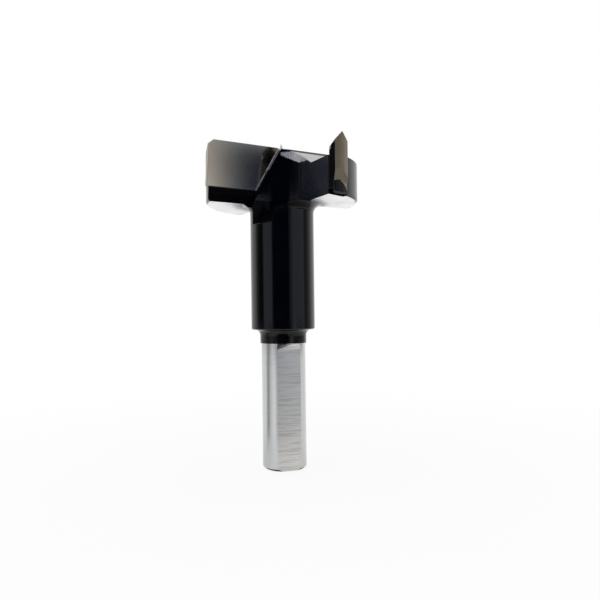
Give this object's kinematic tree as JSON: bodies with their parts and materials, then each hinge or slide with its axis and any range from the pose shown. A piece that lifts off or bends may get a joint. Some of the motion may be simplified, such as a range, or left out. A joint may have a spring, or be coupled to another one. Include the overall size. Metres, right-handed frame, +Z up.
{
  "type": "forstner bit",
  "caption": "Forstner-style hinge-boring bit with a round shank, a black two-lobed head, brazed carbide cutting plates, pointed spurs and a short centre point.",
  "frame": {"origin": "middle of the shank's flat end face, on the tool's axis", "axes": "+Z runs up the tool's axis from the shank's end to the centre point; the cutting edge of main_cutter_a points to azimuth 208 degrees from +X about +Z, and the drive flat faces azimuth -74 degrees"},
  "size_m": [0.0344, 0.027, 0.0738],
  "materials": {
    "black_painted_steel": "gloss black on the head, sleeve and neck; the shank is bare ground steel",
    "ground_carbide": "ground cemented carbide, satin grey-brown"
  },
  "bodies": {
    "root": {"body": "black_painted_steel", "main_cutter_a": "ground_carbide", "main_cutter_b": "ground_carbide", "spur_a": "ground_carbide", "spur_b": "ground_carbide"}
  },
  "joints": []
}
